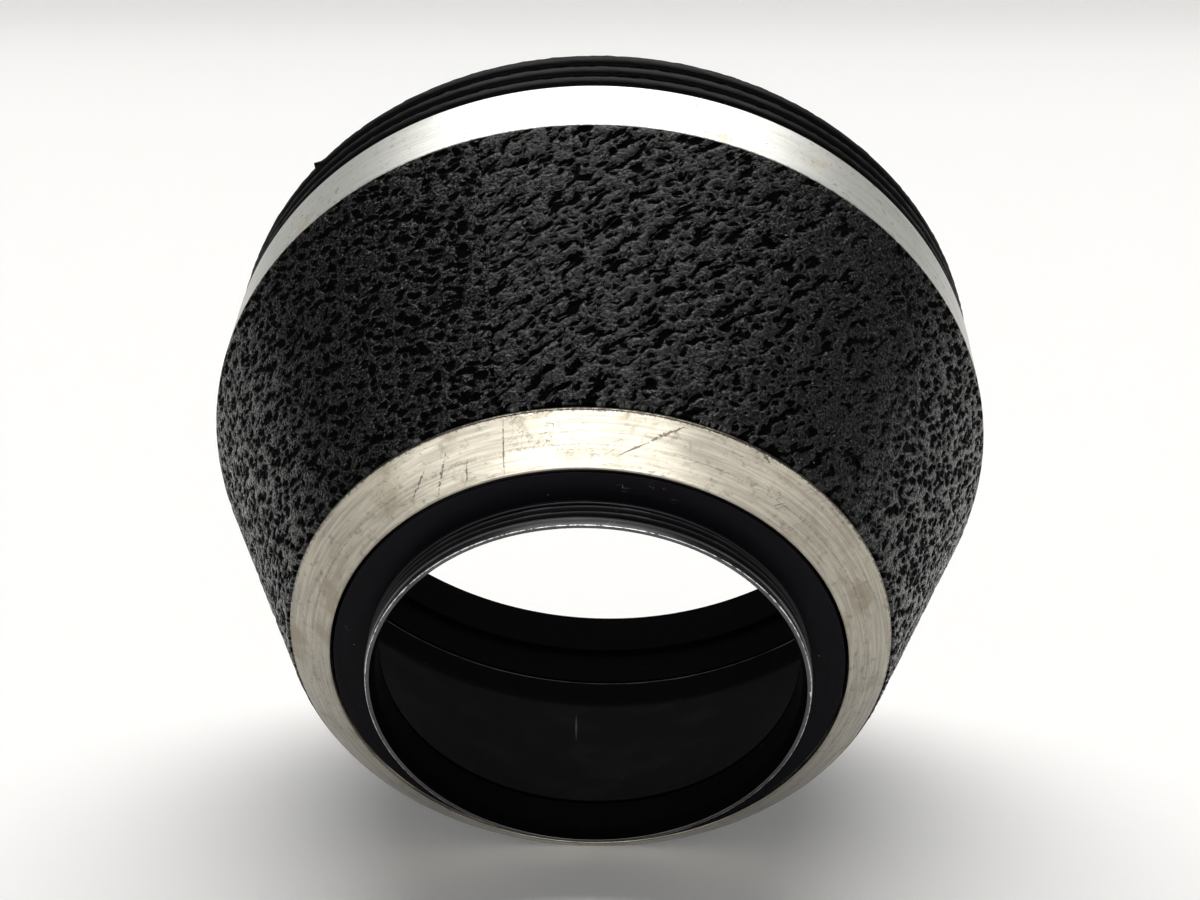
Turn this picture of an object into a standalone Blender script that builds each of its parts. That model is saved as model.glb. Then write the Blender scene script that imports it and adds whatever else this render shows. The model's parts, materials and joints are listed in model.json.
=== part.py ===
"""A screw-in lens hood: a leather-covered cone between two bare aluminium rings.

The pieces are rings turned about one optical axis, the local Z of the empty hood_axis. Heights are measured
along that axis from the rear edge of the lens thread, towards the front. The empty lays the hood on its side,
on the edges of its two bare rings, with the lens end low. Lengths are in metres and +Z is up.
"""
import math

import bmesh
import bpy
from mathutils import Vector

MM = 0.001

# Lengths along the optical axis, from the lens end to the front
LENS_THREAD_LENGTH = 3.0 * MM
BEVEL_LENGTH = 3.0 * MM
LEATHER_BAY_LENGTH = 27.4 * MM
BAND_LENGTH = 7.6 * MM
RIM_LENGTH = 6.8 * MM

# Mount collar
LENS_THREAD_RADIUS = 20.25 * MM
COLLAR_WALL = 0.95 * MM
LEAD_LENGTH = 0.8 * MM
LEAD_DEPTH = 0.15 * MM
RELIEF_WIDTH = 0.45 * MM
RELIEF_DEPTH = 0.5 * MM
SHOULDER_WIDTH = 3.05 * MM
FLANGE_THICKNESS = 1.3 * MM

# Bevel ring
BEVEL_LAND = 0.2 * MM
BEVEL_WIDTH = 3.9 * MM
RIDGE_LENGTH = 1.15 * MM
RIDGE_WIDTH = 1.6 * MM
LIP_LENGTH = 0.35 * MM
SKIRT_LENGTH = 2.7 * MM

# Cone body
NOSE_STEP = 1.1 * MM
NECK_LENGTH = 3.8 * MM
NECK_WALL = 1.2 * MM

# Leather cover
LEATHER_THICKNESS = 0.9 * MM
LEATHER_SINK = 0.35 * MM
SEAM_WIDTH = 0.3 * MM
SEAM_ANGLE = math.radians(15.3)

# Front band and ribbed rim
FRONT_RADIUS = 39.55 * MM
BAND_WALL = 2.35 * MM
SPIGOT_WALL = 1.2 * MM
OPENING_LIP = 0.5 * MM
LIP_STEP = 0.9 * MM
RIB_COUNT = 3
FRONT_LAND = 0.2 * MM
GROOVE_WIDTH = 0.5 * MM
GROOVE_DEPTH = 0.7 * MM
RIB_ROUND = 0.25 * MM

# Fits and edges
FIT_GAP = 0.3 * MM
EDGE_BREAK = 0.15 * MM

# Faceting of the turned pieces
STEPS = 64
MERGE_DISTANCE = 0.00001
SHARP_ANGLE = math.radians(25)

# Heights that several pieces share
SHOULDER = LENS_THREAD_LENGTH
COLLAR_END = SHOULDER + FLANGE_THICKNESS
NOSE_END = COLLAR_END + FIT_GAP
BEVEL_END = SHOULDER + BEVEL_LENGTH
LIP_END = BEVEL_END + LIP_LENGTH
SKIRT_END = LIP_END + SKIRT_LENGTH
BAND_START = BEVEL_END + LEATHER_BAY_LENGTH
BAND_END = BAND_START + BAND_LENGTH
CONE_END = BAND_START - FIT_GAP
NECK_END = BAND_START + NECK_LENGTH
RIM_START = BAND_END + FIT_GAP
FRONT = BAND_END + RIM_LENGTH

# Radii that several pieces share
BORE_RADIUS = LENS_THREAD_RADIUS - COLLAR_WALL
FLANGE_RADIUS = LENS_THREAD_RADIUS + SHOULDER_WIDTH
COUNTERBORE_RADIUS = FLANGE_RADIUS + FIT_GAP
BEVEL_INNER_RADIUS = COUNTERBORE_RADIUS + BEVEL_LAND
BEVEL_OUTER_RADIUS = BEVEL_INNER_RADIUS + BEVEL_WIDTH
NOSE_RADIUS = FLANGE_RADIUS + NOSE_STEP
BAND_BORE_RADIUS = FRONT_RADIUS - BAND_WALL
NECK_RADIUS = BAND_BORE_RADIUS - FIT_GAP
NECK_BORE_RADIUS = NECK_RADIUS - NECK_WALL
SPIGOT_BORE_RADIUS = NECK_RADIUS - SPIGOT_WALL
OPENING_RADIUS = SPIGOT_BORE_RADIUS - OPENING_LIP

# The hood lies on the outer edge of the bevel and the rear edge of the band, past its broken corner
CONE_ANGLE = math.atan2(FRONT_RADIUS - BEVEL_OUTER_RADIUS, BAND_START + EDGE_BREAK - BEVEL_END)
COVER_DEPTH = (LEATHER_SINK + LEATHER_THICKNESS + FIT_GAP) / math.cos(CONE_ANGLE)


def cone_radius(height):
    """Radius of the cone's outside, below the leather and its glue line."""
    return BEVEL_OUTER_RADIUS + (height - BEVEL_END) * math.tan(CONE_ANGLE) - COVER_DEPTH


def finish_material(name, colour, roughness, metallic):
    """A Principled material with one colour."""
    material = bpy.data.materials.new(name)
    material.use_nodes = True
    shader = material.node_tree.nodes["Principled BSDF"]
    shader.inputs["Base Color"].default_value = (*colour, 1.0)
    shader.inputs["Roughness"].default_value = roughness
    shader.inputs["Metallic"].default_value = metallic
    return material


def profile_object(name, points, seat, closed, axis, collection, material):
    """An object whose mesh is a half profile of (radius, height) pairs, its origin on the axis at seat."""
    mesh = bpy.data.meshes.new(name)
    outline = bmesh.new()
    corners = [outline.verts.new((radius, 0, height - seat)) for radius, height in points]
    for first, second in zip(corners, corners[1:]):
        outline.edges.new((first, second))
    if closed:
        outline.edges.new((corners[-1], corners[0]))
    outline.to_mesh(mesh)
    outline.free()
    piece = bpy.data.objects.new(name, mesh)
    collection.objects.link(piece)
    piece.parent = axis
    piece.location.z = seat
    mesh.materials.append(material)
    return piece


def add_turn(piece, angle):
    """Turn the profile about the object's Z."""
    turn = piece.modifiers.new("Turn", "SCREW")
    turn.axis = "Z"
    turn.angle = angle
    turn.steps = STEPS
    turn.render_steps = STEPS
    turn.use_merge_vertices = True
    turn.merge_threshold = MERGE_DISTANCE


def bake_and_shade(piece):
    """Keep the turned mesh, smooth round the axis and sharp at its corners."""
    material = piece.data.materials[0]
    evaluated = piece.evaluated_get(bpy.context.evaluated_depsgraph_get())
    mesh = bpy.data.meshes.new_from_object(evaluated)
    profile = piece.data
    piece.modifiers.clear()
    piece.data = mesh
    mesh.name = piece.name
    bpy.data.meshes.remove(profile)
    if not mesh.materials:
        mesh.materials.append(material)
    mesh.shade_smooth()
    mesh.set_sharp_from_angle(angle=SHARP_ANGLE)


def turned_ring(name, points, seat, axis, collection, material):
    """A closed ring, turned so that one facet of it faces straight down where the hood rests."""
    ring = profile_object(name, points, seat, True, axis, collection, material)
    ring.rotation_euler.z = math.pi / STEPS
    add_turn(ring, 2 * math.pi)
    bake_and_shade(ring)
    return ring


def mount_collar(axis, collection, material):
    """The collar: lead, lens thread and its V relief, flat shoulder clear of the thread, and flange."""
    lead_radius = LENS_THREAD_RADIUS - LEAD_DEPTH
    relief_radius = LENS_THREAD_RADIUS - RELIEF_DEPTH
    relief_start = SHOULDER - RELIEF_WIDTH
    seat_radius = LENS_THREAD_RADIUS + FIT_GAP
    points = [
        (FLANGE_RADIUS - EDGE_BREAK, COLLAR_END),
        (FLANGE_RADIUS, COLLAR_END - EDGE_BREAK),
        (FLANGE_RADIUS, SHOULDER),
        (seat_radius, SHOULDER),
        (relief_radius, relief_start),
        (LENS_THREAD_RADIUS, relief_start - RELIEF_DEPTH / 2),
        (LENS_THREAD_RADIUS, LEAD_LENGTH + LEAD_DEPTH),
        (lead_radius, LEAD_LENGTH),
        (lead_radius, EDGE_BREAK),
        (lead_radius - EDGE_BREAK, 0),
        (BORE_RADIUS + EDGE_BREAK, 0),
        (BORE_RADIUS, EDGE_BREAK),
        (BORE_RADIUS, COLLAR_END - EDGE_BREAK),
        (BORE_RADIUS + EDGE_BREAK, COLLAR_END),
    ]
    return turned_ring("mount_collar", points, SHOULDER, axis, collection, material)


def bevel_ring(axis, collection, material):
    """The rear ring: counterbore for the collar, two-facet bevel, leather lip, and skirt round the nose."""
    skirt_radius = cone_radius(LIP_END)
    nose_bore = NOSE_RADIUS + FIT_GAP
    points = [
        (skirt_radius, SKIRT_END),
        (skirt_radius, LIP_END),
        (BEVEL_OUTER_RADIUS, LIP_END),
        (BEVEL_OUTER_RADIUS, BEVEL_END),
        (BEVEL_INNER_RADIUS + RIDGE_WIDTH, SHOULDER + RIDGE_LENGTH),
        (BEVEL_INNER_RADIUS, SHOULDER),
        (COUNTERBORE_RADIUS, SHOULDER),
        (COUNTERBORE_RADIUS, COLLAR_END),
        (nose_bore, COLLAR_END),
        (nose_bore, SKIRT_END),
    ]
    return turned_ring("bevel_ring", points, SHOULDER, axis, collection, material)


def cone_body(axis, collection, material):
    """The cone: nose for the bevel ring, tapered wall under the leather, neck for the band, funnel inside."""
    nose_start = SKIRT_END + FIT_GAP
    points = [
        (NECK_RADIUS - EDGE_BREAK, NECK_END),
        (NECK_RADIUS, NECK_END - EDGE_BREAK),
        (NECK_RADIUS, CONE_END),
        (cone_radius(CONE_END), CONE_END),
        (cone_radius(nose_start), nose_start),
        (NOSE_RADIUS, nose_start),
        (NOSE_RADIUS, NOSE_END + EDGE_BREAK),
        (NOSE_RADIUS - EDGE_BREAK, NOSE_END),
        (BORE_RADIUS, NOSE_END),
        (NECK_BORE_RADIUS, BAND_START),
        (NECK_BORE_RADIUS, NECK_END - EDGE_BREAK),
        (NECK_BORE_RADIUS + EDGE_BREAK, NECK_END),
    ]
    return turned_ring("cone_body", points, NOSE_END, axis, collection, material)


def leather_cover(axis, collection, material):
    """The leather strip: a cone of even thickness, cut through along one straight seam."""
    rear = LIP_END + FIT_GAP + LEATHER_THICKNESS * math.sin(CONE_ANGLE)
    front = BAND_START - FIT_GAP
    glue_line = FIT_GAP / math.cos(CONE_ANGLE)
    points = [
        (cone_radius(front) + glue_line, front),
        (cone_radius(rear) + glue_line, rear),
    ]
    seam_turn = SEAM_WIDTH / cone_radius((rear + front) / 2)
    cover = profile_object("leather_cover", points, rear, False, axis, collection, material)
    cover.rotation_euler.z = -math.pi / 2 - SEAM_ANGLE + seam_turn / 2
    add_turn(cover, 2 * math.pi - seam_turn)
    hide = cover.modifiers.new("Hide", "SOLIDIFY")
    hide.thickness = LEATHER_THICKNESS
    hide.offset = 1
    hide.use_even_offset = True
    bake_and_shade(cover)
    return cover


def front_band(axis, collection, material):
    """The bare band: a sleeve for the cone's neck from the rear and the rim's spigot from the front."""
    points = [
        (FRONT_RADIUS - EDGE_BREAK, BAND_END),
        (FRONT_RADIUS, BAND_END - EDGE_BREAK),
        (FRONT_RADIUS, BAND_START + EDGE_BREAK),
        (FRONT_RADIUS - EDGE_BREAK, BAND_START),
        (BAND_BORE_RADIUS + EDGE_BREAK, BAND_START),
        (BAND_BORE_RADIUS, BAND_START + EDGE_BREAK),
        (BAND_BORE_RADIUS, BAND_END - EDGE_BREAK),
        (BAND_BORE_RADIUS + EDGE_BREAK, BAND_END),
    ]
    return turned_ring("front_band", points, BAND_START, axis, collection, material)


def rib_outline():
    """The rim's outside from the front edge to the band: each rib, then the groove behind it."""
    groove_radius = FRONT_RADIUS - GROOVE_DEPTH
    pitch = (FRONT - FRONT_LAND - RIM_START) / RIB_COUNT
    points = [(FRONT_RADIUS - RIB_ROUND - FRONT_LAND, FRONT)]
    for rib in range(RIB_COUNT):
        crest_front = FRONT - FRONT_LAND - rib * pitch
        groove_front = crest_front - pitch + GROOVE_WIDTH
        groove_rear = crest_front - pitch
        points += [
            (FRONT_RADIUS - RIB_ROUND, crest_front),
            (FRONT_RADIUS, crest_front - RIB_ROUND),
            (FRONT_RADIUS, groove_front + RIB_ROUND),
            (FRONT_RADIUS - RIB_ROUND, groove_front),
            (groove_radius, groove_front),
            (groove_radius, groove_rear),
        ]
    return points


def ribbed_rim(axis, collection, material):
    """The front ring: finger ribs outside, a spigot that screws into the band and a lip round the opening."""
    spigot_end = NECK_END + FIT_GAP
    lip_start = RIM_START + LIP_STEP
    points = rib_outline() + [
        (NECK_RADIUS, RIM_START),
        (NECK_RADIUS, spigot_end + EDGE_BREAK),
        (NECK_RADIUS - EDGE_BREAK, spigot_end),
        (SPIGOT_BORE_RADIUS + EDGE_BREAK, spigot_end),
        (SPIGOT_BORE_RADIUS, spigot_end + EDGE_BREAK),
        (SPIGOT_BORE_RADIUS, lip_start - OPENING_LIP),
        (OPENING_RADIUS, lip_start),
        (OPENING_RADIUS, FRONT - EDGE_BREAK),
        (OPENING_RADIUS + EDGE_BREAK, FRONT),
    ]
    return turned_ring("ribbed_rim", points, RIM_START, axis, collection, material)


def lay_down(axis, pieces):
    """Lay the axis at the cone's angle and put the middle of the hood's footprint box at the origin."""
    axis.rotation_euler.x = CONE_ANGLE - math.pi / 2
    bpy.context.view_layer.update()
    corners = [piece.matrix_world @ vertex.co for piece in pieces for vertex in piece.data.vertices]
    low = Vector([min(corner[i] for corner in corners) for i in range(3)])
    high = Vector([max(corner[i] for corner in corners) for i in range(3)])
    middle = (low + high) / 2
    axis.location = (-middle.x, -middle.y, -low.z)
    bpy.context.view_layer.update()


def main():
    for old in list(bpy.data.objects):
        bpy.data.objects.remove(old, do_unlink=True)
    collection = bpy.data.collections.new("lens_hood")
    bpy.context.scene.collection.children.link(collection)
    axis = bpy.data.objects.new("hood_axis", None)
    collection.objects.link(axis)

    anodised = finish_material("black_anodised", (0.013, 0.012, 0.014), 0.42, 0.0)
    bevel_metal = finish_material("bare_bevel", (0.66, 0.64, 0.58), 0.32, 1.0)
    matt_black = finish_material("matt_black_paint", (0.016, 0.017, 0.016), 0.75, 0.0)
    leather = finish_material("black_leather", (0.018, 0.018, 0.018), 0.55, 0.0)
    band_metal = finish_material("bare_band", (0.70, 0.70, 0.67), 0.3, 1.0)
    rim_black = finish_material("black_rim", (0.02, 0.02, 0.02), 0.5, 0.0)

    pieces = [
        mount_collar(axis, collection, anodised),
        bevel_ring(axis, collection, bevel_metal),
        cone_body(axis, collection, matt_black),
        leather_cover(axis, collection, leather),
        front_band(axis, collection, band_metal),
        ribbed_rim(axis, collection, rim_black),
    ]
    lay_down(axis, pieces)


main()
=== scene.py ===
"""The looks of the screw-in lens hood: turned rings, threads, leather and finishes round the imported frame.

Sizes are in millimetres unless a name or comment says otherwise. Heights run along the optical axis from the
rear edge of the lens thread to the front, and radii are measured from that axis. Places round the hood are in
degrees from its top, and grow to the right as seen from the lens end.
"""
import json
import math

import bmesh
import bpy
import numpy as np
from mathutils import Matrix, Vector


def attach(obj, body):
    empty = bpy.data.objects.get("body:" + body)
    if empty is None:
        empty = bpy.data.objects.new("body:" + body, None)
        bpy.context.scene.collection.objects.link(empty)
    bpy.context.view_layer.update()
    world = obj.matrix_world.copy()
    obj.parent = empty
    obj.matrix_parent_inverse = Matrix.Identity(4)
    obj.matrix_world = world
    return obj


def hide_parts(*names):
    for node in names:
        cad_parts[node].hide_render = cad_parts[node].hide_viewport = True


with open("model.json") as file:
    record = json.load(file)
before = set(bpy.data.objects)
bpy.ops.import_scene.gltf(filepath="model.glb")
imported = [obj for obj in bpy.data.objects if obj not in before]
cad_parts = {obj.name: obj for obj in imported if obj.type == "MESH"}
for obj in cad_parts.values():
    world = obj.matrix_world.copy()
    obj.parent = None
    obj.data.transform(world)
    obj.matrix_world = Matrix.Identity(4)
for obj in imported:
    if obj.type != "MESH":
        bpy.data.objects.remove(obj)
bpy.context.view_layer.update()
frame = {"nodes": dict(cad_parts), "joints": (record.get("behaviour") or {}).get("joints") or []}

MM = 0.001

# Heights of the rings, as the frame has them
SHOULDER = 3.0
FLANGE_THICKNESS = 1.3
BEVEL_LENGTH = 3.0
LIP_LENGTH = 0.35
SKIRT_LENGTH = 2.7
LEATHER_BAY_LENGTH = 27.4
NECK_LENGTH = 3.8
BAND_LENGTH = 7.6
RIM_LENGTH = 6.8
FIT_GAP = 0.3
COLLAR_END = SHOULDER + FLANGE_THICKNESS
NOSE_END = COLLAR_END + FIT_GAP
BEVEL_END = SHOULDER + BEVEL_LENGTH
LIP_END = BEVEL_END + LIP_LENGTH
SKIRT_END = LIP_END + SKIRT_LENGTH
BAND_START = BEVEL_END + LEATHER_BAY_LENGTH
BAND_END = BAND_START + BAND_LENGTH
CONE_END = BAND_START - FIT_GAP
NECK_END = BAND_START + NECK_LENGTH
SPIGOT_END = NECK_END + FIT_GAP
RIM_START = BAND_END + FIT_GAP
FRONT = BAND_END + RIM_LENGTH

# Radii of the rings
LENS_THREAD_RADIUS = 20.25
BORE_RADIUS = 19.3
FLANGE_RADIUS = 23.3
COUNTERBORE_RADIUS = FLANGE_RADIUS + FIT_GAP
BEVEL_INNER_RADIUS = 23.8
BEVEL_OUTER_RADIUS = 27.7
RIDGE_WIDTH = 1.6
RIDGE_LENGTH = 1.15
NOSE_RADIUS = 24.4
FRONT_RADIUS = 39.55
FACE_EDGE = 0.45
BAND_BORE_RADIUS = 37.2
NECK_RADIUS = BAND_BORE_RADIUS - FIT_GAP
NECK_BORE_RADIUS = 35.7
OPENING_RADIUS = 35.2
LIP_STEP = 0.9
LIP_TAPER = 0.5

# Threads, with the heights that each runs between
LENS_THREAD_PITCH = 0.75
LENS_THREAD_DEPTH = 0.4
LEAD_LENGTH = 0.85
LEAD_DEPTH = 0.15
LEAD_RADIUS = LENS_THREAD_RADIUS - LEAD_DEPTH
REAR_EDGE = 0.38
BORE_TAPER = 1.1
SEAT_THREAD_PITCH = 0.5
SEAT_THREAD_DEPTH = 0.2
THREAD_ROW = 0.05
THREAD_FLANK = (0.12, 0.88)
LENS_THREAD = (LEAD_LENGTH, SHOULDER - 0.15)
FLANGE_THREAD = (SHOULDER + 0.15, COLLAR_END - 0.2)
COUNTERBORE_THREAD = (SHOULDER + 0.1, COLLAR_END - 0.1)
BAND_THREAD = (SPIGOT_END, BAND_END - 0.3)
SPIGOT_THREAD = (SPIGOT_END + 0.3, RIM_START - 0.3)

# Ribs of the rim, and how uneven their crests are: (waves round the rim, shift, share)
RIB_COUNT = 3
FRONT_LAND = 0.2
GROOVE_WIDTH = 0.5
GROOVE_DEPTH = 0.7
RIB_RAGGED = 0.045
RIB_WAVES = ((61, 0.4, 0.3), (97, 1.3, 0.35), (143, 2.9, 0.4), (179, 4.4, 0.45))
BURR_ANGLE = math.radians(-45.6)
BURR_HEIGHT = 46.6
BURR_REACH = 0.65
BURR_HALF_WIDTH = 0.6

# Roundings of the turned corners
SHARP = 0
FOOT = 0.04
FINE = 0.05
KEEN = 0.06
CRISP = 0.08
SOFT = 0.1
BROKEN = 0.12
BLUNT = 0.15
ROUND = 0.2
TAPER_ROUNDING = 0.3
RIB_ROUNDING = 0.6
FUNNEL_ROUNDING = 0.8

# Leather
LEATHER_THICKNESS = 0.9
LEATHER_SINK = 0.35
LEATHER_SWELL = 0.45
LEATHER_REAR = LIP_END + 0.1
LEATHER_FRONT = BAND_START - 0.15
LEATHER_COLUMNS = 760
LEATHER_ROWS = 108
SEAM_ANGLE = math.radians(15.3)
SEAM_WIDTH = 0.015
GRAIN_HEIGHT = 0.3
GRAIN_LEVEL = 1.15
GRAIN_ANGLE = math.radians(60)
SLIT_MIDDLE = (82.0, 10.0, 0.0)
SLIT_REACH = (15.0, 40.0)
EDGE_FADE = (-0.05, 0.5)
SEAM_FADE = (-0.05, 0.02)

# Fineness of the meshes
RING_STEPS = 512
CORNER_SEGMENTS = 3
MERGE_DISTANCE = 1e-7
PICK_DISTANCE = 1e-6
RING_SMOOTH_ANGLE = math.radians(40)
LEATHER_SMOOTH_ANGLE = math.radians(60)

# Colours that lie over the finishes
SPOT_COLOUR = (0.2, 0.19, 0.17, 1)
HAIRLINE_COLOUR = (0.16, 0.15, 0.14, 1)
DIRT_COLOUR = (0.06, 0.05, 0.04, 1)
SCRATCH_COLOUR = (0.05, 0.045, 0.038, 1)
DUST_COLOUR = (0.5, 0.49, 0.47, 1)
LEATHER_DUST_COLOUR = (0.35, 0.35, 0.34, 1)
# Pale paint for the funnel's scratches and for the painted highlight along its neck's inner edge
PAINT_SCRATCH_AND_HIGHLIGHT_COLOUR = (0.1, 0.1, 0.098, 1)

# Heights of the fine relief in the finishes
METAL_MARK_HEIGHT = 0.004
METAL_SCRATCH_DEPTH = 0.02
BLACK_MARK_HEIGHT = 0.005
PAINT_GRAIN_HEIGHT = 0.03
LEATHER_RELIEF_HEIGHT = 0.26
LEATHER_FINE_HEIGHT = 0.06

# Worn or dirty edges, and one edge with a painted highlight, each with these numbers and then its strength
EDGE_SOCKETS = ("Edge Radius", "Edge Height", "Width", "Broken", "Patch Size")
COLLAR_WORN_EDGES = ((LEAD_RADIUS, 0.0, 0.06, 1.1, 0.8, 0.9),)
RIM_WORN_EDGES = ((FRONT_RADIUS, FRONT - FRONT_LAND, 0.1, 0.9, 0.9, 1.0),)
# A painted highlight: a pale band along the neck's inner edge, where that edge catches light
FUNNEL_HIGHLIGHT_EDGES = ((NECK_BORE_RADIUS, NECK_END, 0.16, 0.7, 6.0, 0.5),)
BEVEL_DIRTY_EDGES = (
    (BEVEL_INNER_RADIUS + RIDGE_WIDTH, SHOULDER + RIDGE_LENGTH, 0.07, 2.6, 0.3, 0.3),
    (BEVEL_OUTER_RADIUS, BEVEL_END, 0.11, 2.6, 0.35, 0.7),
)
BAND_DIRTY_EDGES = ((FRONT_RADIUS, BAND_START, 0.07, 2.6, 0.5, 0.4),)

# Scratches that the photo shows, each with these numbers
SCRATCH_SOCKETS = ("Start Angle", "Start Radius", "End Angle", "End Radius", "Width", "Broken")
BEVEL_SCRATCHES = (
    (-14.4, 27.6, -16.4, 23.8, 0.055, 1.4),
    (6.8, 24.8, 11.8, 25.85, 0.06, 0.6),
    (11.6, 25.8, 18.0, 27.4, 0.09, 3.2),
    (-26.0, 26.7, -31.6, 23.8, 0.06, 3.2),
    (-22.8, 25.6, -24.4, 24.1, 0.055, 3.2),
    (-31.6, 26.0, -36.8, 24.6, 0.055, 3.4),
    (33.0, 27.6, 35.0, 27.3, 0.12, 1.2),
)
FUNNEL_SCRATCHES = ((-175.2, 33.8, -175.2, 29.1, 0.12, 0.4),)
COLLAR_NICKS = ((87.0, 20.2, 89.5, 20.0, 0.2, 0.4),)

# The floor, in metres, and the low wall round it: (radius, height) from its foot to its top
FLOOR_SIZE = 8.0
FLOOR_WIDENING = 5.0
FLOOR_FRONT_REACH = 10.0
BACK_HEIGHT = 3.0
BACK_SWEEP = 1.9
BACK_SEGMENTS = 16
FLOOR_COLOUR = (0.93, 0.925, 0.915, 1)
FLOOR_GLOW = 0.13
WALL_CURVE = ((3.4, -0.003), (3.9, 0.035), (4.35, 0.12), (4.75, 0.27), (5.05, 0.5), (5.2, 0.85))
WALL_STEPS = 128

# Overhead light: a wide soft panel, given as a sun so that floor and hood are lit alike
PANEL_STRENGTH = 2.9
PANEL_SPREAD = math.radians(68)
PANEL_LEAN = math.radians(27)
PANEL_COLOUR = (1.0, 0.995, 0.985)
SURROUND_STRENGTH = 0.14
SURROUND_COLOUR = (1.0, 0.99, 0.975, 1)

# Pale cards behind the camera that only reflections see, in metres: (middle X, distance, width, radiance)
CARD_MIDDLE_HEIGHT = 0.3
CARD_HEIGHT = 0.6
CARD_COLOUR = (1.0, 0.995, 0.98)
CARDS = ((0.0, 1.0, 4.0, 0.8), (-0.62, 0.95, 1.0, 1.3), (0.03, 0.9, 0.64, 3.2))

# The camera, from a fit of the rings' edges in the photo: its place is right, up and back of the tip
CAMERA_LENS = 57.0
CAMERA_SENSOR = 36.0
CAMERA_CLIP_START = 0.005
CAMERA_YAW = math.radians(-1.747)
CAMERA_PITCH = math.radians(14.77)
CAMERA_FROM_TIP = (1.114, 22.077, 171.023)


def rear_middle():
    """The middle of the lens thread's rear edge, in metres, from the frame's collar."""
    corners = np.array([vertex.co for vertex in frame["nodes"]["mount_collar"].data.vertices])
    corners = np.unique(corners.round(6), axis=0)
    middle = corners.mean(0)
    heights = (corners - middle) @ np.array(AXIS)
    return Vector(middle + heights.min() * np.array(AXIS))


# The optical axis, from the frame: its direction, its slope and where it starts
AXIS = Vector(next(j for j in frame["joints"] if j["name"] == "rim_unscrew")["axis"]).normalized()
CONE_ANGLE = math.asin(AXIS.z)
AXIS_TURN = CONE_ANGLE - math.pi / 2
TIP = rear_middle()
COVER_DEPTH = (LEATHER_SINK + LEATHER_THICKNESS + FIT_GAP) / math.cos(CONE_ANGLE)


def cone_radius(height):
    """Radius of the bare cone under the leather."""
    return BEVEL_OUTER_RADIUS + (height - BEVEL_END) * math.tan(CONE_ANGLE) - COVER_DEPTH


def leather_radius(height):
    """Radius of the leather's outside, which swells just proud of the two bare rings."""
    return cone_radius(height) + (FIT_GAP + LEATHER_THICKNESS + LEATHER_SWELL) / math.cos(CONE_ANGLE)


# Modelling with operators

def go_to(mode):
    """Change to EDIT or OBJECT mode."""
    bpy.ops.object.mode_set(mode=mode)


def select_all():
    """In edit mode, select all of the mesh."""
    bpy.ops.mesh.select_all(action="SELECT")


def new_piece(name, primitive, **settings):
    """A new primitive, left in edit mode with all of it selected."""
    bpy.ops.object.select_all(action="DESELECT")
    primitive(**settings)
    piece = bpy.context.object
    piece.name = name
    piece.data.name = name
    go_to("EDIT")
    bpy.ops.mesh.select_mode(type="VERT")
    select_all()
    return piece


def start_vertex(name, radius, height):
    """A new piece with one vertex at that radius and height, left in edit mode."""
    piece = new_piece(name, bpy.ops.mesh.primitive_plane_add, size=MM)
    bpy.ops.mesh.merge(type="CENTER")
    bpy.ops.transform.translate(value=(radius * MM, 0, height * MM))
    return piece


def extrude_by(move):
    """Extrude what is selected by a move in metres."""
    bpy.ops.mesh.extrude_region_move(TRANSFORM_OT_translate={"value": move})


def extrude_to(start, end):
    """Extrude what is selected from one (radius, height) to another."""
    extrude_by(((end[0] - start[0]) * MM, 0, (end[1] - start[1]) * MM))


def widen(factor):
    """Widen what is selected about the Z axis."""
    bpy.ops.transform.resize(value=(factor, factor, 1), center_override=(0, 0, 0))


def select_where(piece, chosen):
    """In edit mode, select only the vertices whose place chosen accepts."""
    bpy.ops.mesh.select_all(action="DESELECT")
    edited = bmesh.from_edit_mesh(piece.data)
    for vertex in edited.verts:
        vertex.select = chosen(vertex.co)
    edited.select_flush(True)
    bmesh.update_edit_mesh(piece.data)


def select_rings(piece, rings):
    """In edit mode, select only the vertices on these (radius, height) rings round Z."""
    def on_a_ring(co):
        from_axis = math.hypot(co.x, co.y)
        return any(math.hypot(from_axis - r * MM, co.z - h * MM) < PICK_DISTANCE for r, h in rings)

    select_where(piece, on_a_ring)


def turn_profile(piece, steps, angle):
    """Turn the edited profile about Z through that angle, and leave edit mode."""
    go_to("OBJECT")
    turn = piece.modifiers.new("Turn", "SCREW")
    turn.axis = "Z"
    turn.angle = angle
    turn.steps = steps
    turn.render_steps = steps
    bpy.ops.object.modifier_apply(modifier=turn.name)


def turned_ring(name, corners):
    """A ring turned about Z from a closed profile of (radius, height, rounding) corners."""
    piece = start_vertex(name, *corners[0][:2])
    for start, end in zip(corners, corners[1:]):
        extrude_to(start, end)
    select_all()
    bpy.ops.mesh.edge_face_add()
    for rounding in sorted({corner[2] for corner in corners if corner[2]}):
        select_rings(piece, [corner[:2] for corner in corners if corner[2] == rounding])
        bpy.ops.mesh.bevel(offset=rounding * MM, segments=CORNER_SEGMENTS, affect="VERTICES")
    select_all()
    bpy.ops.mesh.delete(type="ONLY_FACE")
    turn_profile(piece, RING_STEPS, 2 * math.pi)
    go_to("EDIT")
    select_all()
    bpy.ops.mesh.remove_doubles(threshold=MERGE_DISTANCE)
    bpy.ops.mesh.normals_make_consistent(inside=False)
    go_to("OBJECT")
    return piece


def thread_rows(radius, start, end):
    """Corners close together from one height to another, for a thread."""
    count = round(abs(end - start) / THREAD_ROW)
    return [(radius, start + (end - start) * row / count, SHARP) for row in range(count + 1)]


def measured(piece):
    """The vertices' places, as an array in millimetres, with their radii and heights."""
    flat = np.empty(len(piece.data.vertices) * 3, np.float32)
    piece.data.vertices.foreach_get("co", flat)
    places = flat.reshape(-1, 3).astype(float) / MM
    return places, np.hypot(places[:, 0], places[:, 1]), places[:, 2]


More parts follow.
